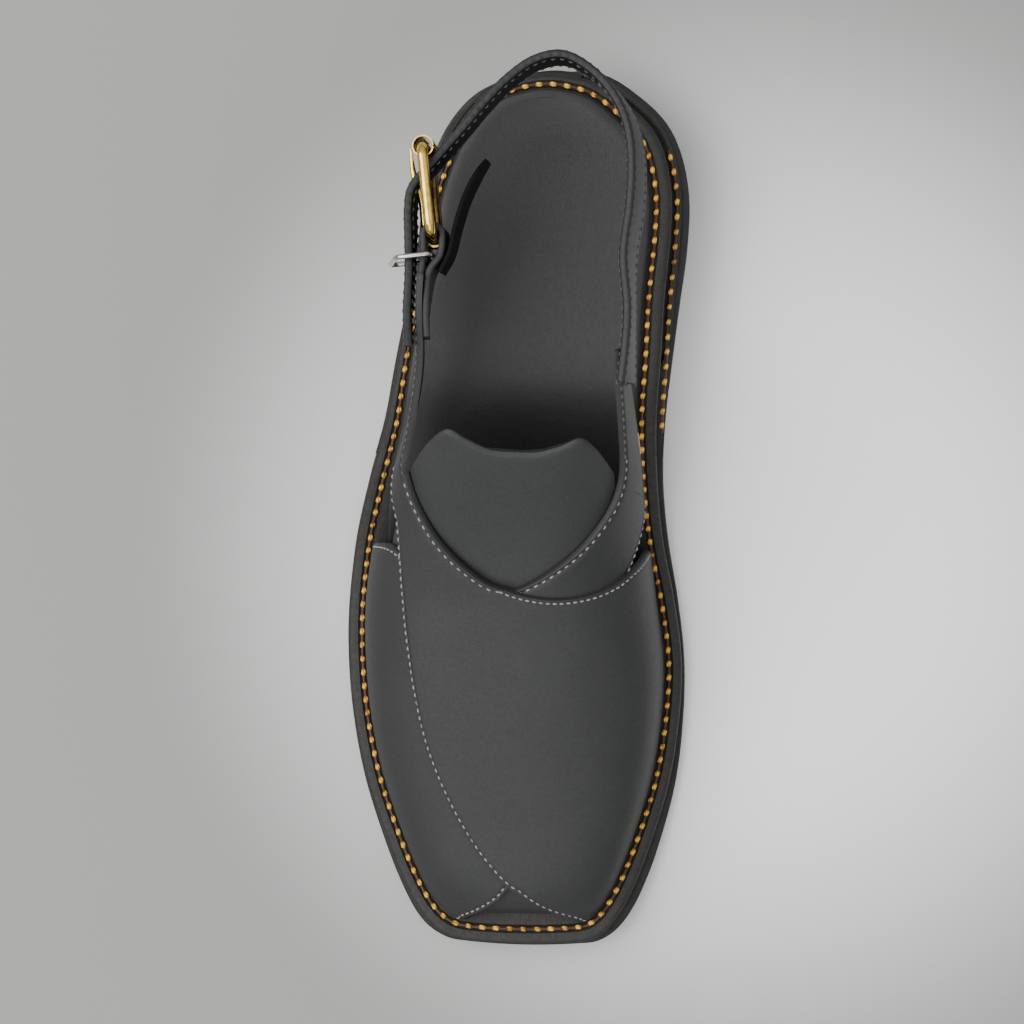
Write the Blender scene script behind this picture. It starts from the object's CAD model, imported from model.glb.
import math
from bisect import bisect_right

import bmesh
import bpy
from mathutils import Matrix, Vector


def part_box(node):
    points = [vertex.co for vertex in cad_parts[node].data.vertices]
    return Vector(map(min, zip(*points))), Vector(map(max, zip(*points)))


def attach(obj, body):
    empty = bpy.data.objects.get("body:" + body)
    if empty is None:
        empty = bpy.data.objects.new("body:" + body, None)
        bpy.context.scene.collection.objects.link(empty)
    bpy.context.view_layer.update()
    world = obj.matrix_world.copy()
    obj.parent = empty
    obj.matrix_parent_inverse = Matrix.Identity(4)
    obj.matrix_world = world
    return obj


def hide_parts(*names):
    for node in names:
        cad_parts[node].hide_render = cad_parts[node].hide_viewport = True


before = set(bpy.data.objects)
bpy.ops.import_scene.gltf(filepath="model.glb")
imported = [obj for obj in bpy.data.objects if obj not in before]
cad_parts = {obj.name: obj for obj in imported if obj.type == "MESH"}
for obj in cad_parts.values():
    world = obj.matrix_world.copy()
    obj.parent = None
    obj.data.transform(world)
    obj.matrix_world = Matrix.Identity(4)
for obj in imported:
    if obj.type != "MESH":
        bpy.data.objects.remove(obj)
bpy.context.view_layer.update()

# Metres, +Z up, heel towards +Y, buckle side -X. The tables hold the same shares of the named sizes
# as the CAD: along of HALF_LENGTH, lateral and medial of HALF_BALL, girth from 0 to 1 over the last.

# Driving sizes
HALF_LENGTH = 0.145
HALF_BALL = 0.058
INSTEP_RISE = 0.060
CLEARANCE = 0.0003

# Sole
OUTSOLE_THICK = 0.006
MIDSOLE_THICK = 0.005
WEDGE_THICK = 0.005
WEDGE_TIP = 0.0012
INSOLE_THICK = 0.0026
INSOLE_DISH = 0.0012
HEEL_LIFT = 0.016
TOE_SPRING = 0.0045
WELT_REACH = 0.005
SOLE_REACH = 0.006
INSOLE_INSET = 0.0066
HEEL_TAPER = 0.0012
HEEL_BREAST = 0.0200
WEDGE_FRONT = 0.0180
STEP_LENGTH = 0.0022
WEDGE_FULL = 0.060
LIFT_START = -0.030
LIFT_END = 0.045
SPRING_START = -0.095
BLEND_LENGTH = 0.035
DISH_START = -0.060
DISH_END = 0.050
DISH_WIDTH = 0.045
LEVEL_HEIGHT = 0.004
HEEL_BULGE = 0.0007
TOE_BULGE = 0.0008
CHANNEL_DEPTH = 0.0009
CHANNEL_HALF = 0.0014
CHANNEL_SHAPE = ((1.0, 0.0), (0.75, 0.45), (0.4, 0.95), (0.0, 1.0), (-0.4, 0.95), (-0.75, 0.45), (-1.0, 0.0))
RIM_WIDTH = 0.0022
RIM_DROP = 0.0015
LIP_WIDTH = 0.0021
LIP_LEVEL = 0.42
LIP_ROOM = (0.0020, 0.0048)
LEDGE_ROOM = (0.0030, 0.0042)
HIDDEN_LEDGE = 0.0044
MIDSOLE_INNER = -0.0032
LAYER_INNER = -0.003
WEDGE_INNER = -0.0062

# Straps and tongue
VAMP_STRAP_WALL = 0.0022
SIDE_STRAP_WALL = 0.0020
STRAP_SINK = 0.0004
TAIL_LIFT = (-0.152, 0.020)
TOE_LIFT = (-0.924, -0.850)
FOOT_LIFT = (0.80, 0.97)
TONGUE_WALL = 0.0015
TONGUE_GAP = 0.0006
TONGUE_EDGE = 0.0008
TOE_ROUNDING = 0.020
HEEL_STRAP_WIDTH = 0.015
HEEL_STRAP_WALL = 0.0026
HEEL_STRAP_HEIGHT = 0.080
FOLD_WIDTH = 0.0010
FOLD_RISE = 0.0003
SEAM_INSET = 0.0017
LOW_INSET = 0.0011
TOE_INSET = 0.0018
EDGE_INSET = 0.0005
HEEL_SEAM_INSET = 0.0019
TAIL_SEAM_INSET = 0.0018
HEEL_SCALLOP = 0.0007
SEAM_DEPTH = 0.00028
SEAM_HALF = 0.00045
EDGE_ROUND = 0.62
EDGE_DROP = 0.00018
SEAM_STEP = 0.0003

# Thread
GOLD_PITCH = 0.0046
GOLD_LENGTH = 0.0034
GOLD_STRAND = 0.00043
GOLD_STRANDS = 3
GOLD_TWIST = 0.45
GOLD_RISE = 0.0013
GOLD_SINK = 0.0010
LINK_RADIUS = 0.00058
LEDGE_PITCH = 0.0048
LEDGE_OUT = 0.0017
LEDGE_START = 0.0250
LEDGE_END = 0.1190
DASH_LENGTH = 0.0015
DASH_RADIUS = 0.00032
SIDE_PITCH = 0.0028

# Buckle
BAR_RADIUS = 0.00165
WORN_TOP = 0.0030
FRAME_LENGTH = 0.0269
FRAME_HEIGHT = 0.0225
FRAME_CORNER = 0.0040
FRONT_BAR_ALONG = 0.5820
FRONT_BAR_INSET = 0.0020
FRAME_TURN = math.radians(5.9)
ROLLER_RADIUS = 0.0034
ROLLER_SHEET = 0.0005
ROLLER_WIDTH = 0.0165
PRONG_RADIUS = 0.0010
PRONG_SHANK = ((0.0165, 0.0040), (0.0205, 0.0046))
LOOP_WALL = 0.0020
LOOP_WIDTH = 0.0140
KEEPER_WIRE = 0.0009
KEEPER_CORNER = 0.0022
KEEPER_AHEAD = 0.0060
KEEPER_LEAN = 0.0045
KEEPER_ROOM = 0.0038
KEEPER_SLACK = 0.0022
TAIL_SHIFT = 0.0009
LEAF_LENGTH = 0.0115
LEAF_SHIFT = 0.0024
GUARD_WALL = 0.0016
GUARD_WIDTH = 0.015

# along, lateral, medial, welt lateral, welt medial, sole lateral, sole medial, insole
OUTLINE = (
    (0.956, -0.078, 0.293, 0.68, 0.72, 0.90, 1.05, 0.28),
    (0.940, 0.060, 0.431, 0.68, 0.78, 0.98, 1.38, 0.28),
    (0.900, 0.190, 0.566, 0.68, 0.88, 1.18, 1.58, 0.28),
    (0.828, 0.316, 0.729, 0.65, 0.98, 1.20, 1.70, 0.28),
    (0.724, 0.419, 0.798, 0.62, 1.00, 1.02, 1.77, 0.28),
    (0.607, 0.478, 0.793, 0.60, 1.00, 0.78, 1.76, 0.28),
    (0.483, 0.538, 0.762, 0.60, 1.00, 0.75, 1.66, 0.28),
    (0.345, 0.605, 0.743, 0.62, 0.98, 0.78, 1.41, 0.28),
    (0.207, 0.667, 0.719, 0.75, 0.95, 0.86, 1.25, 0.28),
    (0.069, 0.767, 0.726, 0.88, 0.90, 0.93, 1.05, 0.40),
    (-0.069, 0.859, 0.759, 0.95, 0.86, 0.93, 1.00, 0.95),
    (-0.207, 0.905, 0.824, 0.98, 0.85, 0.92, 0.90, 1.00),
    (-0.345, 0.907, 0.866, 1.00, 0.85, 0.95, 0.85, 1.00),
    (-0.483, 0.874, 0.848, 1.00, 0.86, 0.97, 0.95, 1.00),
    (-0.621, 0.802, 0.790, 0.98, 0.88, 1.00, 1.10, 1.00),
    (-0.759, 0.683, 0.681, 0.96, 0.92, 1.05, 1.25, 1.00),
    (-0.855, 0.576, 0.584, 0.96, 0.95, 1.10, 1.30, 1.10),
    (-0.914, 0.481, 0.498, 0.98, 0.98, 1.15, 1.30, 1.33),
    (-0.944, 0.388, 0.424, 1.00, 1.00, 1.08, 1.18, 1.42),
    (-0.954, 0.293, 0.336, 1.00, 1.00, 1.00, 1.05, 1.42),
)

# along, lateral, medial, rise, flank
LAST = (
    (-0.928, 0.284, 0.328, 0.217, 0.80),
    (-0.921, 0.359, 0.395, 0.222, 0.80),
    (-0.895, 0.434, 0.452, 0.242, 0.80),
    (-0.841, 0.519, 0.528, 0.272, 0.80),
    (-0.749, 0.622, 0.621, 0.330, 0.80),
    (-0.614, 0.738, 0.726, 0.408, 0.80),
    (-0.478, 0.810, 0.784, 0.492, 0.80),
    (-0.345, 0.841, 0.800, 0.575, 0.80),
    (-0.207, 0.840, 0.760, 0.667, 0.80),
    (-0.069, 0.780, 0.725, 0.775, 0.73),
    (0.069, 0.664, 0.724, 0.900, 0.62),
    (0.172, 0.552, 0.693, 1.017, 0.48),
    (0.310, 0.458, 0.652, 1.200, 0.38),
    (0.448, 0.436, 0.640, 1.400, 0.34),
    (0.586, 0.398, 0.620, 1.530, 0.34),
    (0.724, 0.360, 0.620, 1.600, 0.40),
)
CROWN_POWER = 0.80
TOE_POWER = 2.2
SKIN_STEP = 0.006
GIRTH_STEP = 0.01

# lower along, lower girth, upper along, upper girth
VAMP_STRAP = (
    (0.497, 0.128, 0.497, 0.196),
    (0.400, 0.116, 0.400, 0.198),
    (0.290, 0.095, 0.290, 0.196),
    (0.179, 0.090, 0.186, 0.207),
    (0.055, 0.175, 0.114, 0.220),
    (-0.021, 0.255, 0.069, 0.269),
    (-0.097, 0.286, 0.002, 0.339),
    (-0.179, 0.297, -0.060, 0.400),
    (-0.290, 0.305, -0.115, 0.455),
    (-0.414, 0.315, -0.161, 0.505),
    (-0.538, 0.333, -0.180, 0.560),
    (-0.662, 0.370, -0.182, 0.620),
    (-0.766, 0.422, -0.170, 0.690),
    (-0.841, 0.488, -0.149, 0.755),
    (-0.886, 0.560, -0.122, 0.820),
    (-0.912, 0.680, -0.102, 0.890),
    (-0.927, 0.860, -0.091, 0.950),
    (-0.928, 1.000, -0.086, 1.000),
)

# lower along, lower girth, upper along, upper girth
SIDE_STRAP = (
    (0.352, 0.876, 0.338, 0.782),
    (0.320, 0.882, 0.310, 0.780),
    (0.248, 0.899, 0.248, 0.776),
    (0.152, 0.905, 0.172, 0.773),
    (0.068, 0.903, 0.090, 0.772),
    (0.000, 0.922, 0.028, 0.747),
    (-0.055, 0.885, -0.028, 0.700),
    (-0.143, 0.801, -0.083, 0.640),
    (-0.248, 0.735, -0.138, 0.565),
    (-0.372, 0.695, -0.174, 0.505),
    (-0.510, 0.672, -0.196, 0.450),
    (-0.641, 0.640, -0.175, 0.390),
    (-0.752, 0.582, -0.135, 0.330),
    (-0.845, 0.492, -0.098, 0.290),
    (-0.883, 0.440, -0.077, 0.250),
    (-0.910, 0.330, -0.068, 0.190),
    (-0.927, 0.140, -0.070, 0.080),
    (-0.928, 0.000, -0.074, 0.000),
)

# top along, top girth, toe girth
TONGUE = (
    (0.105, 0.240, 0.060),
    (0.148, 0.320, 0.180),
    (0.168, 0.400, 0.310),
    (0.145, 0.455, 0.420),
    (0.119, 0.505, 0.500),
    (0.130, 0.555, 0.580),
    (0.148, 0.612, 0.690),
    (0.128, 0.680, 0.820),
    (0.088, 0.755, 0.940),
)

# across, along, lean in degrees
HEEL_PATH = (
    (0.676, 0.538, 12.0),
    (0.712, 0.640, 14.0),
    (0.720, 0.735, 13.0),
    (0.692, 0.809, 10.5),
    (0.618, 0.870, 6.5),
    (0.500, 0.921, 2.5),
    (0.345, 0.955, 0.0),
    (0.190, 0.946, 0.0),
    (0.045, 0.907, 0.0),
    (-0.085, 0.854, 0.0),
    (-0.180, 0.809, 0.0),
)
OVERLAP_ALONG = (0.274, 0.350, 0.430)
OVERLAP_GAP = 0.0003
LEAF_ALONG = (0.425, 0.368)
TAIL_START = 0.455
TAIL_START_GAP = 0.0002
FREE_END_GAP = 0.0007
WRAP_ANGLE = math.radians(-38)

# forward of the front bar, away from the foot
STRAP_BY_FRAME = ((0.0155, 0.0044), (0.0085, 0.0066), (0.0020, 0.0072))

# along, width share
FREE_END = ((0.500, 1.00), (0.420, 0.98), (0.352, 0.55))

# across, along, width share
GUARD_PATH = (
    (-0.311, 0.505, 0.75),
    (-0.258, 0.546, 0.90),
    (-0.222, 0.604, 1.00),
    (-0.172, 0.665, 1.00),
    (-0.112, 0.712, 0.85),
    (-0.064, 0.740, 0.50),
)

# Mesh fineness
OUTLINE_STEPS = 8
STRAP_STATIONS = 170
STRAP_MIDDLE = 16
TONGUE_ROWS = 60
TONGUE_COLUMNS = 56
PATH_STEPS = 14
LAST_STEPS = 900

# name: colour, darker colour, roughness, shine, grain size, grain depth, crease size, crease depth
LEATHERS = {
    "strap_leather": ((0.025, 0.0255, 0.026), (0.018, 0.0185, 0.019), 0.58, 0.38, 2600, 0.14, 90, 0.08),
    "tongue_leather": ((0.030, 0.031, 0.031), (0.022, 0.023, 0.023), 0.62, 0.38, 2600, 0.14, 70, 0.10),
    "heel_strap_leather": ((0.019, 0.0198, 0.02), (0.012, 0.0124, 0.0128), 0.54, 0.38, 2400, 0.14, 110, 0.08),
    "lining_leather": ((0.006, 0.006, 0.0065), (0.003, 0.003, 0.0035), 0.62, 0.20, 2000, 0.20, 90, 0.08),
    "guard_leather": ((0.003, 0.003, 0.0033), (0.002, 0.002, 0.0023), 0.62, 0.10, 2600, 0.15, 90, 0.08),
    "ledge_leather": ((0.025, 0.0242, 0.0215), (0.012, 0.0116, 0.0105), 0.54, 0.32, 1500, 0.30, 60, 0.16),
    "insole_leather": ((0.012, 0.012, 0.0124), (0.008, 0.008, 0.0084), 0.46, 0.42, 1800, 0.12, 24, 0.14),
    "sole_edge": ((0.014, 0.013, 0.013), (0.007, 0.007, 0.007), 0.50, 0.40, 900, 0.30, 140, 0.20),
    "sole_ledge": ((0.015, 0.0144, 0.0132), (0.008, 0.0076, 0.0070), 0.58, 0.34, 1200, 0.30, 90, 0.15),
    "heel_stack": ((0.016, 0.015, 0.015), (0.008, 0.008, 0.008), 0.50, 0.40, 900, 0.30, 140, 0.20),
    "raw_leather": ((0.700, 0.540, 0.380), (0.480, 0.330, 0.210), 0.85, 0.30, 1600, 0.40, 200, 0.20),
}

# name: colour, darker colour, roughness, fibre size
THREADS = {
    "gold_thread": ((0.900, 0.480, 0.065), (0.130, 0.038, 0.005), 0.24, 5200),
    "link_thread": ((0.060, 0.026, 0.008), (0.018, 0.010, 0.005), 0.60, 5200),
    "grey_thread": ((0.260, 0.262, 0.258), (0.115, 0.117, 0.115), 0.60, 6000),
    "dim_thread": ((0.070, 0.071, 0.071), (0.030, 0.031, 0.031), 0.62, 6000),
}

# name: colour, darker colour, roughness
METALS = {
    "brass": ((0.950, 0.680, 0.190), (0.660, 0.410, 0.080), 0.17),
    "worn_brass": ((0.240, 0.160, 0.060), (0.080, 0.055, 0.025), 0.34),
    "steel_wire": ((0.640, 0.620, 0.600), (0.380, 0.360, 0.350), 0.18),
}
FLOOR_SHADES = ((0.930, 0.932, 0.930), (0.290, 0.290, 0.287))
FLOOR_CENTRE = (0.070, -0.010, 0.0)
FLOOR_SPAN = (0.060, 0.210)


def smoothstep(value, start, end):
    share = min(1.0, max(0.0, (value - start) / (end - start)))
    return share * share * (3.0 - 2.0 * share)


def curve(a, b, c, d, t):
    """The smooth curve from row b to row c, column by column."""
    return tuple(
        0.5 * (2 * q + (r - p) * t + (2 * p - 5 * q + 4 * r - s) * t * t + (3 * q - p - 3 * r + s) * t ** 3)
        for p, q, r, s in zip(a, b, c, d)
    )


def spline(rows, place):
    """Columns of a table at a fractional row number, on a smooth curve through its rows."""
    last_row = len(rows) - 1
    index = min(max(int(math.floor(place)), 0), last_row - 1)
    b = rows[index]
    c = rows[index + 1]
    a = rows[index - 1] if index > 0 else tuple(2 * p - q for p, q in zip(b, c))
    d = rows[index + 2] if index + 2 <= last_row else tuple(2 * q - p for p, q in zip(b, c))
    return curve(a, b, c, d, place - index)


def halve(low, high, rounds, before):
    """Narrows a range to the place where before(place) stops being true."""
    for _ in range(rounds):
        middle = (low + high) / 2
        if before(middle):
            low = middle
        else:
            high = middle
    return low, high


def row_place(rows, along):
    """The fractional row number where a table's first column has the given value."""
    rising = rows[-1][0] > rows[0][0]
    low, high = halve(0.0, len(rows) - 1.0, 36, lambda place: (spline(rows, place)[0] < along) == rising)
    return (low + high) / 2


def running_lengths(points):
    lengths = [0.0]
    for first, second in zip(points, points[1:]):
        lengths.append(lengths[-1] + (second - first).length)
    return lengths


# Heights of the sole


def outsole_bottom(y):
    spring = max(0.0, (SPRING_START - y) / (HALF_LENGTH + SPRING_START))
    return TOE_SPRING * spring ** 2 + HEEL_LIFT * smoothstep(y, LIFT_START, LIFT_END)


def outsole_top(y):
    return outsole_bottom(y) + OUTSOLE_THICK


def wedge_thick(y):
    return WEDGE_TIP + (WEDGE_THICK - WEDGE_TIP) * smoothstep(y, WEDGE_FRONT, WEDGE_FULL)


def wedge_bottom(y):
    return outsole_top(y) + CLEARANCE


def wedge_top(y):
    return wedge_bottom(y) + wedge_thick(y)


def block_top(y):
    return outsole_bottom(y) - CLEARANCE


def midsole_bottom(y):
    step = smoothstep(y, WEDGE_FRONT - STEP_LENGTH, WEDGE_FRONT - CLEARANCE)
    return outsole_top(y) + CLEARANCE + step * (wedge_thick(y) + CLEARANCE)


def midsole_top(y):
    blend = smoothstep(y, WEDGE_FRONT - BLEND_LENGTH, WEDGE_FRONT)
    return outsole_top(y) + MIDSOLE_THICK + CLEARANCE + blend * (wedge_thick(y) + CLEARANCE)


def seat(y):
    return midsole_top(y) + CLEARANCE


# The outline, from the heel's tip by each side to the toe's tip


def side_rows(side):
    """Rows of x, y, welt reach, sole reach and insole inset for one side, with rounded tips."""
    rows = []
    for row in OUTLINE:
        x = row[2] * HALF_BALL if side else -row[1] * HALF_BALL
        reaches = (row[3 + side] * WELT_REACH, row[5 + side] * SOLE_REACH, row[7] * INSOLE_INSET)
        rows.append((x, row[0] * HALF_LENGTH, *reaches))
    return rows


def outline_loop():
    """The closed loop of rows: heel tip, lateral side, toe tip, medial side."""
    lateral = side_rows(0)
    medial = side_rows(1)

    def tip(first, second, bulge):
        made = []
        for share in (0.25, 0.5, 0.75):
            row = [a + (b - a) * share for a, b in zip(first, second)]
            row[1] += bulge * 4 * share * (1 - share)
            made.append(tuple(row))
        return made

    toe = tip(lateral[-1], medial[-1], -TOE_BULGE)
    heel = tip(lateral[0], medial[0], HEEL_BULGE)
    return [heel[1], heel[0], *lateral, *toe, *reversed(medial), heel[2]]


def loop_point(loop, place):
    """Row of a closed loop at a fractional row number, with the outward direction in plan."""
    count = len(loop)
    index = int(math.floor(place))
    t = place - index
    a, b, c, d = (loop[(index + k) % count] for k in (-1, 0, 1, 2))
    slope = [
        0.5 * ((r - p) + 2 * (2 * p - 5 * q + 4 * r - s) * t + 3 * (3 * q - p - 3 * r + s) * t * t)
        for p, q, r, s in zip(a[:2], b[:2], c[:2], d[:2])
    ]
    return curve(a, b, c, d, t), Vector((slope[1], -slope[0])).normalized()


LOOP = outline_loop()
HALF_ROWS = len(LOOP) // 2


def outline_pair(place):
    return loop_point(LOOP, place), loop_point(LOOP, len(LOOP) - place)


def outline_pairs(cut=None):
    """Matching lateral and medial samples of the loop from the heel's tip to the toe or a cut."""
    pairs = []
    for k in range(HALF_ROWS * OUTLINE_STEPS + 1):
        place = k / OUTLINE_STEPS
        pair = outline_pair(place)
        if cut is not None and pair[0][0][1] < cut:
            behind = (k - 1) / OUTLINE_STEPS
            low, high = halve(behind, place, 30, lambda spot: loop_point(LOOP, spot)[0][1] > cut)
            pairs.append(outline_pair(low))
            break
        pairs.append(pair)
    return pairs


def outsole_shift():
    """Moves the tables' frame so that the outsole stands where the CAD's outsole does."""
    low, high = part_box("outsole")
    spots = [Vector(row[:2]) + normal * row[3] for pair in outline_pairs() for row, normal in pair]
    middle_x = (min(p.x for p in spots) + max(p.x for p in spots)) / 2
    middle_y = (min(p.y for p in spots) + max(p.y for p in spots)) / 2
    return Vector(((low.x + high.x) / 2 - middle_x, (low.y + high.y) / 2 - middle_y, 0.0))


SHIFT = outsole_shift()


# Materials


def node(tree, kind, **inputs):
    made = tree.nodes.new("ShaderNode" + kind)
    for name, value in inputs.items():
        made.inputs[name.replace("_", " ")].default_value = value
    return made


def texture(tree, place, kind, **inputs):
    """A texture in the object's own coordinates."""
    made = node(tree, kind, **inputs)
    tree.links.new(place.outputs["Object"], made.inputs["Vector"])
    return made


def spread(tree, value, low, high):
    """Stretches a value so that low becomes 0 and high becomes 1."""
    made = node(tree, "MapRange", From_Min=low, From_Max=high)
    tree.links.new(value, made.inputs["Value"])
    return made.outputs["Result"]


def dye(tree, socket, first, second, share):
    """Gives a socket the mix of two colours."""
    mix = node(tree, "Mix")
    mix.data_type = "RGBA"
    mix.inputs[6].default_value = (*first, 1.0)
    mix.inputs[7].default_value = (*second, 1.0)
    tree.links.new(share, mix.inputs["Factor"])
    tree.links.new(mix.outputs[2], socket)


def bump(tree, height, strength, distance, under=None):
    made = node(tree, "Bump", Strength=strength, Distance=distance)
    tree.links.new(height, made.inputs["Height"])
    if under is not None:
        tree.links.new(under, made.inputs["Normal"])
    return made.outputs["Normal"]


def start_material(name):
    material = bpy.data.materials.new(name)
    material.use_nodes = True
    tree = material.node_tree
    return material, tree, tree.nodes["Principled BSDF"], node(tree, "TexCoord")


def leather(name, colour, dark, roughness, shine, grain, grain_depth, crease, crease_depth):
    """Dyed leather: pebbled grain, soft creases and uneven dye."""
    material, tree, shader, place = start_material(name)
    link = tree.links.new
    patches = texture(tree, place, "TexNoise", Scale=crease * 0.6, Detail=4.0, Roughness=0.6)
    specks = texture(tree, place, "TexNoise", Scale=grain * 0.35, Detail=3.0, Roughness=0.7)
    cells = texture(tree, place, "TexVoronoi", Scale=grain)
    creases = texture(tree, place, "TexNoise", Scale=crease, Detail=4.0, Roughness=0.55, Distortion=0.8)
    blend = node(tree, "Math")
    blend.operation = "MULTIPLY_ADD"
    blend.inputs[1].default_value = 0.6
    link(patches.outputs["Fac"], blend.inputs[0])
    link(specks.outputs["Fac"], blend.inputs[2])
    dye(tree, shader.inputs["Base Color"], dark, colour, spread(tree, blend.outputs[0], 0.55, 1.05))
    gloss = node(tree, "MapRange", To_Min=roughness + 0.08, To_Max=roughness - 0.06)
    link(specks.outputs["Fac"], gloss.inputs["Value"])
    link(gloss.outputs["Result"], shader.inputs["Roughness"])
    shader.inputs["Specular IOR Level"].default_value = shine
    low = bump(tree, creases.outputs["Fac"], crease_depth, 0.002)
    link(bump(tree, cells.outputs["Distance"], grain_depth, 0.0003, low), shader.inputs["Normal"])
    return material


def thread(name, colour, dark, roughness, fibre):
    """Spun thread: fine fibres, uneven dye, and darker where a stitch dips into its holes."""
    material, tree, shader, place = start_material(name)
    link = tree.links.new
    fibres = texture(tree, place, "TexNoise", Scale=fibre, Detail=3.0, Roughness=0.6)
    tone = texture(tree, place, "TexNoise", Scale=240.0, Detail=2.0)
    dip = node(tree, "Attribute")
    dip.attribute_name = "dip"
    less = node(tree, "Math")
    less.operation = "SUBTRACT"
    less.use_clamp = True
    link(spread(tree, tone.outputs["Fac"], 0.25, 0.50), less.inputs[0])
    link(dip.outputs["Fac"], less.inputs[1])
    dye(tree, shader.inputs["Base Color"], dark, colour, less.outputs[0])
    shader.inputs["Roughness"].default_value = roughness
    link(bump(tree, fibres.outputs["Fac"], 0.35, 0.0002), shader.inputs["Normal"])
    return material


def metal(name, colour, dark, roughness):
    """Polished metal with faint scratches and tarnish."""
    material, tree, shader, place = start_material(name)
    tarnish = texture(tree, place, "TexNoise", Scale=260.0, Detail=4.0, Roughness=0.7)
    scratch = texture(tree, place, "TexNoise", Scale=2200.0, Detail=2.0)
    dye(tree, shader.inputs["Base Color"], dark, colour, spread(tree, tarnish.outputs["Fac"], 0.35, 0.60))
    shader.inputs["Metallic"].default_value = 1.0
    shader.inputs["Roughness"].default_value = roughness
    tree.links.new(bump(tree, scratch.outputs["Fac"], 0.08, 0.0002), shader.inputs["Normal"])
    return material


def add_lifts(material):
    """The cut edges of the heel's lifts show as fine lines up its side."""
    tree = material.node_tree
    place = tree.nodes["Texture Coordinate"]
    normal = tree.nodes["Principled BSDF"].inputs["Normal"]
    lifts = texture(tree, place, "TexWave", Scale=70.0, Distortion=0.4, Detail=2.0)
    lifts.bands_direction = "Z"
    tree.links.new(bump(tree, lifts.outputs["Fac"], 0.25, 0.0006, normal.links[0].from_socket), normal)


MATERIALS = {name: leather(name, *row) for name, row in LEATHERS.items()}
MATERIALS.update({name: thread(name, *row) for name, row in THREADS.items()})
MATERIALS.update({name: metal(name, *row) for name, row in METALS.items()})
add_lifts(MATERIALS["heel_stack"])


# Pieces


def add_piece(name, work, materials, node_name=None, smooth_angle=40):
    """Turns a bmesh built in the tables' frame into a piece of the shoe."""
    bmesh.ops.remove_doubles(work, verts=work.verts, dist=1e-6)
    bmesh.ops.recalc_face_normals(work, faces=work.faces)
    bmesh.ops.translate(work, vec=SHIFT, verts=work.verts)
    mesh = bpy.data.meshes.new(name)
    work.to_mesh(mesh)
    work.free()
    for material in materials:
        mesh.materials.append(MATERIALS[material])
    mesh.shade_smooth()
    mesh.set_sharp_from_angle(angle=math.radians(smooth_angle))
    piece = bpy.data.objects.new(name, mesh)
    bpy.context.scene.collection.objects.link(piece)
    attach(piece, "root")
    if node_name:
        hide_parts(node_name)
    return piece


def skin_rings(work, rings, caps=True, material=0):
    """Quads between matching rings of points, with a cap at each end."""
    made = [[work.verts.new(point) for point in ring] for ring in rings]
    count = len(made[0])
    for first, second in zip(made, made[1:]):
        for n in range(count):
            m = (n + 1) % count
            work.faces.new((first[n], first[m], second[m], second[n])).material_index = material
    if caps:
        work.faces.new(made[0]).material_index = material
        work.faces.new(list(reversed(made[-1]))).material_index = material
    return made


def ring_piece(name, rings, material, node_name, smooth_angle):
    """A piece between rings of points, in the slot of its material's name."""
    work = bmesh.new()
    skin_rings(work, rings)
    add_piece(name, work, (material,), node_name, smooth_angle)


def hexagon(middle, across, up, size):
    angles = [math.radians(60 * m) for m in range(6)]
    return [middle + across * (math.cos(a) * size) + up * (math.sin(a) * size) for a in angles]


def rounded_loop(length, height, corner, steps):
    """A rounded rectangle about its middle, as pairs of length and height."""
    points = []
    for sx, sy, start in ((1, 1, 0), (-1, 1, 90), (-1, -1, 180), (1, -1, 270)):
        for k in range(steps + 1):
            angle = math.radians(start + 90 * k / steps)
            a = sx * (length / 2 - corner) + corner * math.cos(angle)
            b = sy * (height / 2 - corner) + corner * math.sin(angle)
            points.append((a, b))
    return points


def sole_piece(
    name, profile, columns, bottom, top, materials, node_name, cut=None, dish=None, edge_rows=0,
):
    """A layer of the sole. profile(row) gives points of one side, from the lower edge to the top
    inside it, as (reach outward, level from 0 at the bottom to 1 at the top, rise)."""
    work = bmesh.new()
    rings = []
    for pair in outline_pairs(cut):
        sides = []
        for row, normal in pair:
            side = []
            for out, level, rise in profile(row):
                spot = Vector(row[:2]) + normal * out
                if cut is not None:
                    spot.y = max(spot.y, cut)
                base = bottom(spot.y) * (1 - level) + top(spot.y) * level
                side.append(Vector((spot.x, spot.y, base + rise)))
            sides.append(side)
        lateral, medial = sides
        for left, right in zip(lateral, medial):
            if left.x > right.x:
                left.x = right.x = (left.x + right.x) / 2
        middle = []
        for k in range(1, columns):
            share = k / columns
            point = lateral[-1].lerp(medial[-1], share)
            if dish:
                point.z -= dish(point.y, share, medial[-1].x - lateral[-1].x)
            middle.append(point)
        rings.append(lateral + middle + list(reversed(medial)))
    rows = skin_rings(work, rings)
    if edge_rows:
        count = len(rows[0])
        edge = set()
        for row in rows:
            edge.update(row[:edge_rows])
            edge.update(row[count - edge_rows:])
        for face in work.faces:
            if all(vert in edge for vert in face.verts):
                face.material_index = 1
    return add_piece(name, work, materials, node_name)


def lower_edge(reach, size):
    """A layer's rounded lower edge."""
    angles = [math.radians(90 * k / 4) for k in range(5)]
    return [(reach - size * (1 - math.sin(a)), 0, size * (1 - math.cos(a))) for a in angles]


def rim(reach, width, drop, steps=6):
    """A convex rim that rises from a layer's side to its top."""
    angles = [math.radians(90 * k / steps) for k in range(steps + 1)]
    return [(reach - width * (1 - math.cos(a)), 1, -drop * (1 - math.sin(a))) for a in angles]


def rounded_side(reach, size, inner):
    """Side profile with both edges rounded."""
    return [*lower_edge(reach, size), *rim(reach, size, size, 4), (inner, 1, 0.0)]


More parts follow.
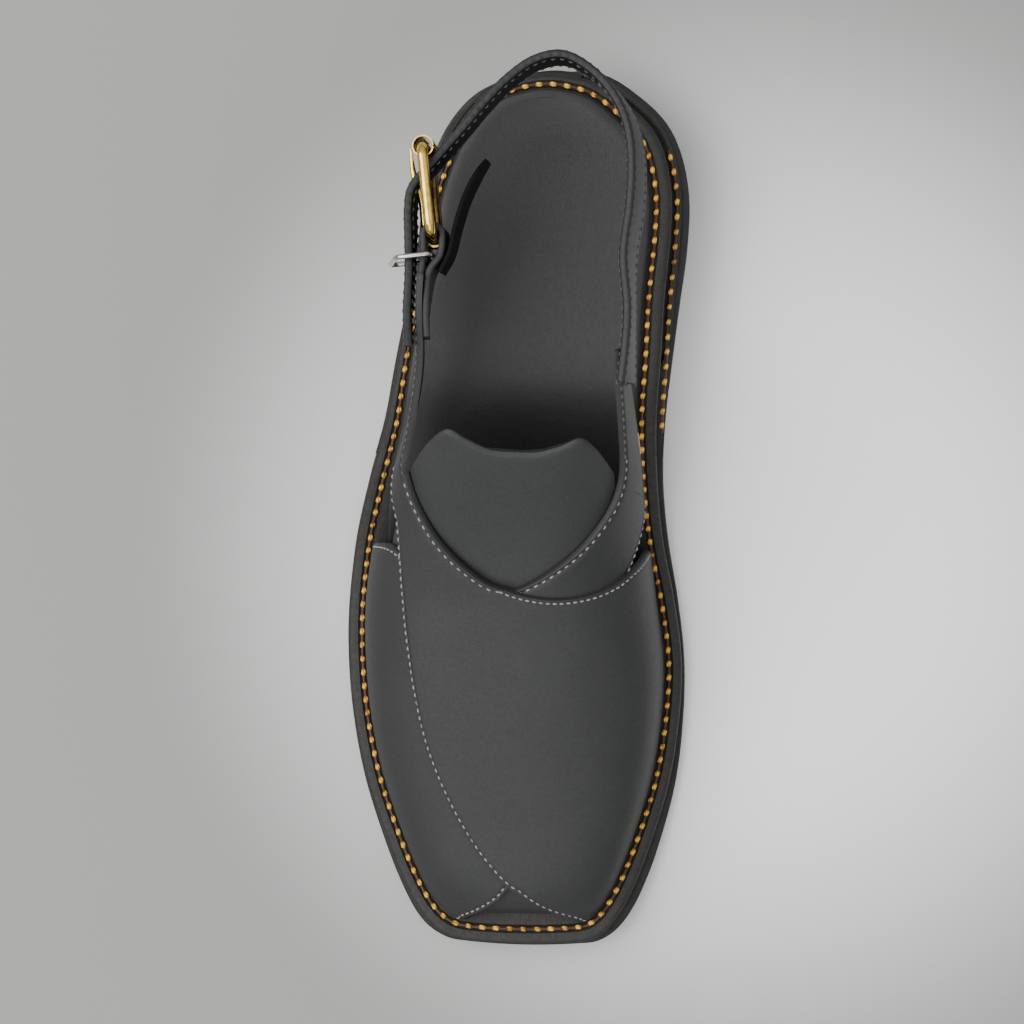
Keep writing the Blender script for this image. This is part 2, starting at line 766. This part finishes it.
def channel(line, inner):
    """A stitching channel in the top of a layer, then the layer's inside."""
    points = [(line + step * CHANNEL_HALF, 1, -depth * CHANNEL_DEPTH) for step, depth in CHANNEL_SHAPE]
    return [*points, (inner, 1, 0.0)]


def midsole_profile(row):
    return lower_edge(row[2], 0.0008) + rim(row[2], RIM_WIDTH, RIM_DROP) + channel(0.0, MIDSOLE_INNER)


def wedge_profile(row):
    """A lip below, then a stitched ledge where the layer reaches far enough past the midsole."""
    reach = row[3]
    room = reach - row[2]
    lip = LIP_WIDTH * smoothstep(room, *LIP_ROOM)
    points = lower_edge(reach, 0.0006)
    points += [(reach, LIP_LEVEL, -0.0002), (reach - 0.0003, LIP_LEVEL, 0.0)]
    points += [(reach - lip - 0.0004, LIP_LEVEL, 0.0)]
    points += rim(reach - lip - 0.0005, 0.0008, 0.0007)
    line = row[2] + LEDGE_OUT - HIDDEN_LEDGE * (1 - smoothstep(room, *LEDGE_ROOM))
    return points + channel(line, row[2] + WEDGE_INNER)


def insole_dish(y, share, width):
    across = (1 - (2 * share - 1) ** 2) * min(1.0, width / DISH_WIDTH)
    return INSOLE_DISH * across * smoothstep(y, DISH_START, DISH_END)


def make_sole():
    sole_piece(
        "outsole_body", lambda row: rounded_side(row[3], 0.0010, LAYER_INNER), 10, outsole_bottom,
        outsole_top, ("sole_ledge", "sole_edge"), "outsole", edge_rows=8,
    )
    sole_piece(
        "heel_stack", lambda row: rounded_side(row[3] - HEEL_TAPER, 0.0008, LAYER_INNER), 8, lambda y: 0.0,
        block_top, ("heel_stack",), "heel_block", cut=HEEL_BREAST,
    )
    sole_piece(
        "heel_ledge", wedge_profile, 8, wedge_bottom, wedge_top, ("sole_ledge", "sole_edge"),
        "heel_wedge", cut=WEDGE_FRONT, edge_rows=11,
    )
    sole_piece(
        "midsole_ledge", midsole_profile, 10, midsole_bottom, midsole_top, ("ledge_leather", "sole_edge"),
        "midsole", edge_rows=8,
    )
    sole_piece(
        "footbed", lambda row: rounded_side(-row[4], 0.0010, LAYER_INNER - row[4]), 22, seat,
        lambda y: seat(y) + INSOLE_THICK, ("insole_leather",), "insole", dish=insole_dish,
    )


# The last


def last_table():
    """Sections of the last at even steps along it."""
    rows = []
    for k in range(LAST_STEPS + 1):
        along = LAST[0][0] + (LAST[-1][0] - LAST[0][0]) * k / LAST_STEPS
        rows.append(spline(LAST, row_place(LAST, along)))
    return rows


LAST_FINE = last_table()


def last_row(along):
    place = (along - LAST[0][0]) / (LAST[-1][0] - LAST[0][0]) * LAST_STEPS
    index = min(max(int(place), 0), LAST_STEPS - 1)
    t = place - index
    return [p + (q - p) * t for p, q in zip(LAST_FINE[index], LAST_FINE[index + 1])]


def last_point(along, girth):
    row = last_row(along)
    y = along * HALF_LENGTH
    rise = row[3] * INSTEP_RISE
    toe_depth = max(0.0, (along - LAST[0][0]) * HALF_LENGTH)
    if toe_depth < TOE_ROUNDING:
        rise *= (1 - (1 - toe_depth / TOE_ROUNDING) ** TOE_POWER) ** (1 / TOE_POWER)
    angle = math.pi * girth
    middle = (row[2] - row[1]) / 2 * HALF_BALL
    half = (row[2] + row[1]) / 2 * HALF_BALL
    side = math.copysign(abs(math.cos(angle)) ** row[4], math.cos(angle))
    height = rise * max(0.0, math.sin(angle)) ** CROWN_POWER
    return Vector((middle - half * side, y, seat(y) + height))


def skin(along, girth, offset):
    """A point at a distance outside the last, level with the sole where it meets it."""
    along = max(along, LAST[0][0])
    point = last_point(along, girth)
    a = max(along, LAST[0][0] + SKIN_STEP)
    g = min(0.97, max(0.03, girth))
    across = last_point(a, g + GIRTH_STEP) - last_point(a, g - GIRTH_STEP)
    forward = last_point(a + SKIN_STEP, g) - last_point(a - SKIN_STEP, g)
    normal = forward.cross(across).normalized()
    if normal.z < 0:
        normal.negate()
    level = min(1.0, (point.z - seat(point.y)) / LEVEL_HEIGHT)
    normal.z *= level
    moved = point + normal.normalized() * offset
    moved.z += (seat(moved.y) - seat(point.y)) * (1 - level)
    return moved


def girth_at_height(along, height, medial):
    row = last_row(along)
    share = (height - seat(along * HALF_LENGTH)) / (row[3] * INSTEP_RISE)
    girth = math.asin(share ** (1 / CROWN_POWER)) / math.pi
    return 1 - girth if medial else girth


def vamp_lift(along, girth):
    """How far the vamp strap lies off the last, over the side strap."""
    over = SIDE_STRAP_WALL - STRAP_SINK
    tail = 1 - smoothstep(along, *TAIL_LIFT)
    toe = smoothstep(along, *TOE_LIFT)
    foot = 1 - smoothstep(girth, *FOOT_LIFT)
    return over * tail * toe * foot


# Straps


def edge_distances():
    """Distances from a strap's edge where its folded edge, seam groove and body have columns."""
    fold = [FOLD_WIDTH * (1 - math.cos(math.radians(90 * k / 6))) for k in range(7)]
    seam = [SEAM_INSET + k * SEAM_STEP for k in (-2, -1, 0, 1, 2)]
    return fold + seam + [SEAM_INSET + 0.0013, SEAM_INSET + 0.0022]


EDGE = edge_distances()


def edge_rise(distance, wall):
    """Height of the strap's face over its back at a distance from its edge."""
    share = min(1.0, distance / (wall * EDGE_ROUND))
    height = wall * (0.12 + 0.88 * math.sqrt(1 - (1 - share) ** 2))
    fold = FOLD_RISE * math.exp(-((distance - FOLD_WIDTH * 0.55) / (FOLD_WIDTH * 0.42)) ** 2)
    groove = SEAM_DEPTH * math.exp(-((distance - SEAM_INSET) / SEAM_HALF) ** 2)
    step = EDGE_DROP * (1 - smoothstep(distance, FOLD_WIDTH, SEAM_INSET + 0.0016))
    return height + fold - groove - step


def strap_grid(table, wall, lift):
    """Face and back points of a strap, with columns at true distances from its edges."""
    face = []
    back = []
    for i in range(STRAP_STATIONS + 1):
        low_along, low_girth, high_along, high_girth = spline(table, i / STRAP_STATIONS * (len(table) - 1))

        def spot(share):
            along = low_along + (high_along - low_along) * share
            return along, min(1.0, max(0.0, low_girth + (high_girth - low_girth) * share))

        shares = [k / 24 for k in range(25)]
        points = [skin(*spot(share), wall) for share in shares]
        lengths = running_lengths(points)
        width = lengths[-1]
        fit = min(1.0, width / (2.6 * EDGE[-1]))
        wanted = [d * fit for d in EDGE]
        inner = width - 2 * wanted[-1]
        wanted += [wanted[-1] + inner * (k + 1) / STRAP_MIDDLE for k in range(STRAP_MIDDLE - 1)]
        wanted += [width - d * fit for d in reversed(EDGE)]
        face_row = []
        back_row = []
        n = 0
        for distance in wanted:
            while n < 23 and lengths[n + 1] < distance:
                n += 1
            part = (distance - lengths[n]) / max(1e-9, lengths[n + 1] - lengths[n])
            along, girth = spot((n + min(1.0, max(0.0, part))) / 24)
            base = lift(along, girth)
            nearest = min(distance, width - distance)
            face_row.append(skin(along, girth, base + edge_rise(max(0.0, nearest), wall)))
            back_row.append(skin(along, girth, base))
        face.append(face_row)
        back.append(back_row)
    return face, back


def make_strap(name, table, wall, lift):
    face, back = strap_grid(table, wall, lift)
    rings = [row + list(reversed(under)) for row, under in zip(face, back)]
    ring_piece(name, rings, "strap_leather", "upper", 60)
    return face, back


def dashes(work, path, lifts, pitch, length=DASH_LENGTH, radius=DASH_RADIUS, material=0):
    """Short thread stitches along a path. lifts are the outward directions at its points."""
    travelled = 0.0
    due = 0.0
    for n in range(len(path) - 1):
        step = (path[n + 1] - path[n]).length
        if step < 1e-9:
            continue
        forward = (path[n + 1] - path[n]) / step
        while due <= travelled + step:
            share = (due - travelled) / step
            centre = path[n].lerp(path[n + 1], share)
            up = lifts[n].lerp(lifts[n + 1], share).normalized()
            across = forward.cross(up).normalized()
            rings = []
            for k in range(6):
                angle = math.radians(-75 + 150 * k / 5)
                middle = centre + forward * (math.sin(angle) * length / 2)
                middle += up * (radius * (math.cos(angle) * 1.1 - 0.55))
                rings.append(hexagon(middle, across, up, radius * (0.35 + 0.65 * math.cos(angle))))
            skin_rings(work, rings, material=material)
            due += pitch
        travelled += step


def seam_path(face, back, upper, inset, start, end):
    """Points at inset(y) from a strap's lower or upper edge, between two shares of its length."""
    first = round(start * STRAP_STATIONS)
    last = round(end * STRAP_STATIONS) + 1
    path = []
    lifts = []
    for row, under in zip(face[first:last], back[first:last]):
        if upper:
            row = list(reversed(row))
            under = list(reversed(under))
        wanted = inset(row[0].y)
        column = max(k for k in range(len(EDGE) - 1) if EDGE[k] <= wanted)
        share = (wanted - EDGE[column]) / (EDGE[column + 1] - EDGE[column])
        point = row[column].lerp(row[column + 1], share)
        path.append(point)
        lifts.append((point - under[column].lerp(under[column + 1], share)).normalized())
    return path, lifts


# strap, upper edge, inset name, from and to as shares of its length, pitch, dim thread
SEAMS = (
    ("vamp", True, "seam", 0.294, 0.530, 0.0029, False),
    ("vamp", True, "seam", 0.530, 1.000, 0.0022, False),
    ("vamp", True, "edge", 0.005, 0.280, 0.0027, True),
    ("vamp", False, "low", 0.215, 1.000, 0.0026, False),
    ("side", True, "seam", 0.215, 0.550, 0.0029, False),
    ("side", True, "seam", 0.550, 1.000, 0.0022, False),
    ("side", True, "edge", 0.060, 0.210, 0.0027, True),
    ("side", False, "low", 0.280, 1.000, 0.0025, False),
)
INSETS = {
    "seam": lambda y: SEAM_INSET,
    "edge": lambda y: EDGE_INSET,
    "low": lambda y: LOW_INSET + (TOE_INSET - LOW_INSET) * smoothstep(-y, 0.030, 0.100),
}
CREASE_STATION = 45
RAW_EDGE_START = 0.0176
RAW_EDGE_END = 0.0258
RAW_EDGE_COLUMN = 8
RAW_EDGE_OUT = 0.0001
RAW_EDGE_RADIUS = 0.00035


def make_straps():
    straps = {
        "vamp": make_strap("vamp_strap", VAMP_STRAP, VAMP_STRAP_WALL, vamp_lift),
        "side": make_strap("side_strap", SIDE_STRAP, SIDE_STRAP_WALL, lambda along, girth: 0.0),
    }
    work = bmesh.new()
    for name, upper, inset, start, end, pitch, dim in SEAMS:
        face, back = straps[name]
        path, lifts = seam_path(face, back, upper, INSETS[inset], start, end)
        dashes(work, path, lifts, pitch, material=int(dim))
    face, back = straps["side"]
    crease = face[CREASE_STATION]
    lifts = [(point - under).normalized() for point, under in zip(crease, back[CREASE_STATION])]
    dashes(work, crease[8:-9], lifts[8:-9], 0.0017, length=0.0012, radius=0.00016, material=1)
    add_piece("strap_stitching", work, ("grey_thread", "dim_thread"))
    path = []
    for row, under in zip(face, back):
        if RAW_EDGE_START < row[0].y < RAW_EDGE_END:
            spot = row[RAW_EDGE_COLUMN]
            path.append(spot + (spot - under[RAW_EDGE_COLUMN]).normalized() * RAW_EDGE_OUT)
    work = bmesh.new()
    tube(work, path, [RAW_EDGE_RADIUS] * len(path), False, sides=10)
    add_piece("raw_edge", work, ("raw_leather",))


def make_tongue():
    face = []
    back = []
    for i in range(TONGUE_ROWS + 1):
        share = (i / TONGUE_ROWS) ** 1.4
        face_row = []
        back_row = []
        for j in range(TONGUE_COLUMNS + 1):
            top_along, top_girth, toe_girth = spline(TONGUE, j / TONGUE_COLUMNS * (len(TONGUE) - 1))
            along = top_along + (LAST[0][0] - top_along) * share
            girth = top_girth + (toe_girth - top_girth) * share
            depth = (top_along - along) * HALF_LENGTH
            wall = TONGUE_WALL * min(1.0, 0.35 + 0.65 * math.sqrt(min(1.0, depth / TONGUE_EDGE)))
            face_row.append(skin(along, girth, wall - TONGUE_GAP - TONGUE_WALL))
            back_row.append(skin(along, girth, -TONGUE_GAP - TONGUE_WALL))
        face.append(face_row)
        back.append(back_row)
    rings = [row + list(reversed(under)) for row, under in zip(face, back)]
    ring_piece("tongue_body", rings, "tongue_leather", "tongue", 60)


def front_bar():
    girth = girth_at_height(FRONT_BAR_ALONG, HEEL_STRAP_HEIGHT, False)
    spot = last_point(FRONT_BAR_ALONG, girth)
    return Vector((spot.x + FRONT_BAR_INSET, spot.y, HEEL_STRAP_HEIGHT))


FRONT_BAR = front_bar()


def frame_point(forward, out, height):
    """A point beside the front bar: towards the rear bar, away from the foot, above mid height."""
    direction = Vector((-math.sin(FRAME_TURN), math.cos(FRAME_TURN), 0))
    away = Vector((-math.cos(FRAME_TURN), -math.sin(FRAME_TURN), 0))
    return FRONT_BAR + direction * forward + away * out + Vector((0, 0, height))


def seat_row(along, offset, medial, share=1.0):
    """Row of a swept strap that leans against the last at mid height."""
    low, middle, high = (
        skin(along, girth_at_height(along, HEEL_STRAP_HEIGHT + step * HEEL_STRAP_WIDTH / 2, medial), offset)
        for step in (-1, 0, 1)
    )
    lean = math.atan2(abs(low.x - high.x), high.z - low.z)
    return middle.x, middle.y, HEEL_STRAP_HEIGHT, -lean, share


def frame_row(forward, out):
    """Row of a swept strap that stands upright beside the buckle frame."""
    return (*frame_point(forward, out, 0), 0.0, 1.0)


def swept_strap(path, width, wall, scallop=0.0):
    """Rings of a strap along rows of x, y, z, lean and width share, and its middle frames."""
    rings = []
    frames = []
    travelled = 0.0
    before = None
    for k in range((len(path) - 1) * PATH_STEPS + 1):
        place = k / PATH_STEPS
        x, y, z, lean, share = spline(path, place)
        ahead = spline(path, min(len(path) - 1.0, place + 0.1))
        behind = spline(path, max(0.0, place - 0.1))
        tangent = Vector((ahead[0] - behind[0], ahead[1] - behind[1], 0)).normalized()
        turn = Matrix.Rotation(lean, 3, tangent)
        side = turn @ Vector((tangent.y, -tangent.x, 0))
        up = turn @ Vector((0, 0, 1))
        centre = Vector((x, y, z))
        if before is not None:
            travelled += (centre - before).length
        before = centre
        wave = scallop * abs(math.sin(math.pi * travelled / SIDE_PITCH))
        dent = scallop * 0.5 - wave * 0.6
        points = []
        for a, b in rounded_loop(wall, width * share, wall / 2 * 0.75, 4):
            if a < 0:
                b -= dent if b > 0 else -dent
            points.append(centre + side * a + up * b)
        rings.append(points)
        frames.append((centre, side, up, width * share / 2))
    return rings, frames


def loop_path():
    """The buckle tail: along the vamp strap's end, round the front bar and back."""
    radius = BAR_RADIUS + CLEARANCE + LOOP_WALL / 2
    apart = LOOP_WALL + 2 * KEEPER_WIRE + 5 * CLEARANCE
    start = seat_row(TAIL_START, VAMP_STRAP_WALL / 2 + TAIL_START_GAP, False)
    rows = [(*start[:3], -start[3], 1.0), frame_row(-KEEPER_AHEAD, TAIL_SHIFT + apart / 2)]
    for k in range(7):
        angle = math.radians(180 - 180 * k / 6)
        rows.append(frame_row(radius * math.sin(angle), -radius * math.cos(angle)))
    rows.append(frame_row(-KEEPER_AHEAD, TAIL_SHIFT - apart / 2))
    rows.append(frame_row(-LEAF_LENGTH, LEAF_SHIFT))
    return rows + [seat_row(along, -LOOP_WALL / 2 - CLEARANCE, False) for along in LEAF_ALONG]


def heel_strap_path():
    """Over the medial tail, round the heel, round the roller and forward to the free end."""
    outside = SIDE_STRAP_WALL + CLEARANCE + HEEL_STRAP_WALL / 2 + OVERLAP_GAP
    beside = VAMP_STRAP_WALL + CLEARANCE + HEEL_STRAP_WALL / 2 + FREE_END_GAP
    wrap = ROLLER_RADIUS + 2 * CLEARANCE + HEEL_STRAP_WALL / 2
    rows = [seat_row(along, outside, True) for along in OVERLAP_ALONG]
    for across, along, lean in HEEL_PATH:
        rows.append((across * HALF_BALL, along * HALF_LENGTH, HEEL_STRAP_HEIGHT, -math.radians(lean), 1.0))
    rows.append(frame_row(FRAME_LENGTH + wrap * math.sin(WRAP_ANGLE), -wrap * math.cos(WRAP_ANGLE)))
    rows += [frame_row(forward, out) for forward, out in STRAP_BY_FRAME]
    return rows + [seat_row(along, beside, False, share) for along, share in FREE_END]


def side_dashes(work, frames, wall, inset):
    """Stitches along both faces of a swept strap, near both its edges: flush on the outer face."""
    for sign_side, radius in ((1, DASH_RADIUS * 0.55), (-1, DASH_RADIUS)):
        for sign_up in (1, -1):
            path = []
            lifts = []
            for centre, side, up, half_width in frames:
                path.append(centre + side * (sign_side * wall / 2) + up * (sign_up * (half_width - inset)))
                lifts.append(side * sign_side)
            dashes(work, path, lifts, SIDE_PITCH, radius=radius)


def line_inside(work, rings):
    """Gives a swept strap's inner face its second material."""
    size = len(rings[0])
    inner = range(size // 4 + 2, size * 3 // 4 - 3)
    for number, face in enumerate(work.faces):
        if number % size in inner:
            face.material_index = 1


def make_heel_strap():
    rings, frames = swept_strap(heel_strap_path(), HEEL_STRAP_WIDTH, HEEL_STRAP_WALL, HEEL_SCALLOP)
    work = bmesh.new()
    skin_rings(work, rings)
    line_inside(work, rings)
    leathers = ("heel_strap_leather", "lining_leather")
    add_piece("heel_strap_body", work, leathers, "heel_strap", 50)
    work = bmesh.new()
    side_dashes(work, frames, HEEL_STRAP_WALL, HEEL_SEAM_INSET)
    add_piece("heel_strap_stitching", work, ("dim_thread",))


def make_buckle_tail():
    rings, frames = swept_strap(loop_path(), LOOP_WIDTH, LOOP_WALL)
    ring_piece("buckle_tail", rings, "strap_leather", "upper", 50)
    work = bmesh.new()
    side_dashes(work, frames[:2 * PATH_STEPS], LOOP_WALL, TAIL_SEAM_INSET)
    add_piece("buckle_tail_stitching", work, ("dim_thread",))


def make_guard():
    path = [(x * HALF_BALL, y * HALF_LENGTH, HEEL_STRAP_HEIGHT, 0.0, share) for x, y, share in GUARD_PATH]
    rings, _ = swept_strap(path, GUARD_WIDTH, GUARD_WALL)
    ring_piece("guard_flap", rings, "guard_leather", "buckle_guard", 50)


# Metalwork


def smooth_path(points, steps):
    rows = [tuple(point) for point in points]
    return [Vector(spline(rows, k / steps)) for k in range((len(rows) - 1) * steps + 1)]


def tube(work, points, radii, closed, sides=16):
    """A round bar along points, with a radius for each."""
    count = len(points)
    tangents = []
    for n in range(count):
        ahead = points[(n + 1) % count] if closed else points[min(count - 1, n + 1)]
        behind = points[(n - 1) % count] if closed else points[max(0, n - 1)]
        tangents.append((ahead - behind).normalized())
    side = tangents[0].orthogonal().normalized()
    rings = []
    for n in range(count):
        side = (side - tangents[n] * side.dot(tangents[n])).normalized()
        other = tangents[n].cross(side)
        rings.append([
            points[n] + (side * math.cos(a) + other * math.sin(a)) * radii[n]
            for a in (2 * math.pi * m / sides for m in range(sides))
        ])
    if not closed:
        skin_rings(work, rings)
        return
    first = rings[0]
    last = rings[-1]
    offset = min(range(sides), key=lambda k: (last[0] - first[k]).length)
    rings.append(first[offset:] + first[:offset])
    skin_rings(work, rings, caps=False)


def prong_points():
    """The prong's middle line: an eye round the front bar, then a shank to the roller."""
    eye = BAR_RADIUS + CLEARANCE + PRONG_RADIUS
    points = []
    for k in range(13):
        angle = math.radians(40 - 220 * k / 12)
        points.append(frame_point(eye * math.sin(angle), -eye * math.cos(angle), 0))
    rest = ROLLER_RADIUS + CLEARANCE + PRONG_RADIUS
    for forward, out in ((0.0060, eye), (0.0110, eye), *PRONG_SHANK):
        points.append(frame_point(forward, out, 0))
    points.append(frame_point(FRAME_LENGTH - 0.0030, rest, 0))
    points.append(frame_point(FRAME_LENGTH + 0.0005, rest, 0))
    return points


def make_roller():
    """Thin sheet rolled round the rear bar, with an open seam and rolled rims."""
    centre = frame_point(FRAME_LENGTH, 0, 0)
    half = ROLLER_WIDTH / 2
    inner = ROLLER_RADIUS - ROLLER_SHEET
    rings = []
    for k in range(49):
        angle = math.radians(4 + 352 * k / 48)
        around = Vector((math.cos(angle), math.sin(angle), 0))
        ring = []
        for radius, height in (
            (inner, -half), (ROLLER_RADIUS - 0.0001, -half), (ROLLER_RADIUS, 0.0003 - half),
            (ROLLER_RADIUS, half - 0.0003), (ROLLER_RADIUS - 0.0001, half), (inner, half),
        ):
            ring.append(centre + around * radius + Vector((0, 0, height)))
        rings.append(ring)
    ring_piece("roller_tube", rings, "brass", "buckle_roller", 50)


def make_buckle():
    outline = rounded_loop(FRAME_LENGTH, FRAME_HEIGHT, FRAME_CORNER, 8)
    path = [frame_point(FRAME_LENGTH / 2 + a, 0, b) for a, b in outline]
    work = bmesh.new()
    tube(work, path, [BAR_RADIUS] * len(path), True, sides=24)
    for face in work.faces:
        if face.calc_center_median().z < HEEL_STRAP_HEIGHT + WORN_TOP:
            face.material_index = 1
    add_piece("frame_bars", work, ("brass", "worn_brass"), "buckle_frame")
    path = smooth_path(prong_points(), 5)
    radii = []
    for n in range(len(path)):
        left = (len(path) - 1 - n) / 12
        radii.append(PRONG_RADIUS * min(1.0, 0.45 + 0.55 * left))
    work = bmesh.new()
    tube(work, path, radii, False)
    add_piece("prong_pin", work, ("brass",), "buckle_prong", 60)
    make_roller()


def make_keeper():
    inner = TAIL_SHIFT
    outer = inner + VAMP_STRAP_WALL + HEEL_STRAP_WALL + 2 * KEEPER_WIRE + KEEPER_ROOM
    height = HEEL_STRAP_WIDTH + 2 * KEEPER_WIRE + KEEPER_SLACK
    points = []
    for a, b in rounded_loop(outer - inner, height, KEEPER_CORNER, 8):
        lean = KEEPER_LEAN * (0.5 - b / height) * (0.5 + a / (outer - inner))
        points.append(frame_point(-KEEPER_AHEAD, (inner + outer) / 2 + a + lean, b))
    work = bmesh.new()
    tube(work, points, [KEEPER_WIRE * 0.88] * len(points), True)
    add_piece("keeper_wire", work, ("steel_wire",), "strap_keeper")


# Gold stitching on the ledges


def gold_stitch(work, start, end, up):
    """One stitch of twisted strands that rises from a hole and dips into the next."""
    dip = work.verts.layers.float.get("dip") or work.verts.layers.float.new("dip")
    forward = (end - start).normalized()
    across = forward.cross(up).normalized()
    length = (end - start).length
    for strand in range(GOLD_STRANDS):
        rings = []
        depths = []
        for k in range(11):
            share = k / 10
            arch = math.sin(math.pi * share)
            turn = 2 * math.pi * (strand / GOLD_STRANDS + share * GOLD_TWIST)
            swing = GOLD_STRAND * (0.25 + 0.75 * arch)
            middle = start + forward * (length * share)
            middle += across * (math.cos(turn) * swing)
            middle += up * (math.sin(turn) * swing * 0.7 + GOLD_RISE * arch - GOLD_SINK)
            rings.append(hexagon(middle, across, up, GOLD_STRAND * (0.40 + 0.60 * math.sqrt(arch))))
            depths.append(1.8 * max(0.0, abs(2 * share - 1) - 0.25))
        for ring, depth in zip(skin_rings(work, rings), depths):
            for vert in ring:
                vert[dip] = depth


def ledge_line(offset, height, first, last):
    """Points along the outline between two loop rows, moved out by offset(row)."""
    points = []
    steps = 10
    for k in range(int((last - first) * steps) + 1):
        row, normal = loop_point(LOOP, (first + k / steps) % len(LOOP))
        spot = Vector(row[:2]) + normal * offset(row)
        points.append(Vector((spot.x, spot.y, height(spot.y))))
    return points


def sew(work, points, pitch):
    """Gold stitches at even steps along a line."""
    lengths = running_lengths(points)
    count = round(lengths[-1] / pitch)
    pitch = lengths[-1] / count

    def at(distance):
        distance = min(lengths[-1], max(0.0, distance))
        low = min(bisect_right(lengths, distance) - 1, len(lengths) - 2)
        share = (distance - lengths[low]) / max(1e-9, lengths[low + 1] - lengths[low])
        return points[low].lerp(points[low + 1], share)

    up = Vector((0, 0, 1))
    for k in range(count):
        middle = (k + 0.5) * pitch
        gold_stitch(work, at(middle - GOLD_LENGTH / 2), at(middle + GOLD_LENGTH / 2), up)


def stitched_line(name, points, pitch, closed):
    """Gold stitches along a line, and the darker thread that links them in its channel."""
    work = bmesh.new()
    sew(work, points, pitch)
    add_piece(name, work, ("gold_thread",))
    work = bmesh.new()
    down = Vector((0, 0, CHANNEL_DEPTH - LINK_RADIUS * 0.7))
    path = [point - down for point in (points[:-1] if closed else points)]
    tube(work, path, [LINK_RADIUS] * len(path), closed, sides=6)
    add_piece(name + "_link", work, ("link_thread",))


def make_gold_stitching():
    rows = len(LOOP)
    line = ledge_line(lambda row: 0.0, midsole_top, 0, rows)
    stitched_line("ledge_stitching", line, GOLD_PITCH, True)
    line = ledge_line(lambda row: row[2] + LEDGE_OUT, wedge_top, rows - 16.0, rows)
    line = [point for point in line if LEDGE_START < point.y < LEDGE_END]
    stitched_line("heel_ledge_stitching", line, LEDGE_PITCH, False)


# Stage


def make_stage():
    bpy.ops.mesh.primitive_plane_add(size=4.0)
    floor = bpy.context.active_object
    floor.name = "floor"
    material, tree, shader, place = start_material("floor_paper")
    away = node(tree, "VectorMath")
    away.operation = "DISTANCE"
    away.inputs[1].default_value = FLOOR_CENTRE
    tree.links.new(place.outputs["Object"], away.inputs[0])
    share = spread(tree, away.outputs["Value"], *FLOOR_SPAN)
    share.node.interpolation_type = "SMOOTHSTEP"
    dye(tree, shader.inputs["Base Color"], *FLOOR_SHADES, share)
    grain = texture(tree, place, "TexNoise", Scale=900.0, Detail=3.0)
    tree.links.new(bump(tree, grain.outputs["Fac"], 0.05, 0.0005), shader.inputs["Normal"])
    shader.inputs["Roughness"].default_value = 0.9
    floor.data.materials.append(material)


# name, place, size, power, colour
LIGHTS = (
    ("key_light", (-0.85, 0.10, 1.25), 1.40, 25.0, (1.0, 0.99, 0.97)),
    ("fill_light", (0.85, 0.30, 1.30), 1.60, 2.0, (0.97, 0.98, 1.0)),
    ("toe_light", (-0.10, -0.95, 1.10), 1.10, 6.0, (1.0, 1.0, 1.0)),
)
SKY_SHADES = ((0.30, 0.31, 0.33), (1.00, 1.00, 1.00))
SKY_STRENGTH = 0.96
SKY_TOP = 0.9
CAMERA_PLACE = Vector((0.06522, 0.0012, 0.8))
CAMERA_AIM = Vector((0.0, 0.0, 0.03))
FRAME_ANGLE = 2 * math.atan(512 / 2362.85)


def make_lights():
    for name, place, size, power, colour in LIGHTS:
        light = bpy.data.lights.new(name, "AREA")
        light.size = size
        light.energy = power
        light.color = colour
        lamp = bpy.data.objects.new(name, light)
        lamp.location = place
        lamp.rotation_euler = (Vector((0, 0, 0)) - lamp.location).to_track_quat("-Z", "Y").to_euler()
        bpy.context.scene.collection.objects.link(lamp)


def make_sky():
    """A studio sky that brightens from the horizon upward."""
    world = bpy.data.worlds.new("studio")
    world.use_nodes = True
    tree = world.node_tree
    axes = node(tree, "SeparateXYZ")
    tree.links.new(node(tree, "TexCoord").outputs["Generated"], axes.inputs["Vector"])
    background = tree.nodes["Background"]
    dye(tree, background.inputs["Color"], *SKY_SHADES, spread(tree, axes.outputs["Z"], 0.0, SKY_TOP))
    background.inputs["Strength"].default_value = SKY_STRENGTH
    bpy.context.scene.world = world


def make_camera():
    data = bpy.data.cameras.new("camera")
    data.angle = FRAME_ANGLE
    camera = bpy.data.objects.new("camera", data)
    camera.location = CAMERA_PLACE
    back = (CAMERA_PLACE - CAMERA_AIM).normalized()
    right = Vector((0, 1, 0)).cross(back).normalized()
    camera.rotation_euler = Matrix((right, back.cross(right), back)).transposed().to_euler()
    bpy.context.scene.collection.objects.link(camera)
    bpy.context.scene.camera = camera


make_sole()
make_straps()
make_tongue()
make_heel_strap()
make_buckle_tail()
make_guard()
make_buckle()
make_keeper()
make_gold_stitching()
make_stage()
make_lights()
make_sky()
make_camera()
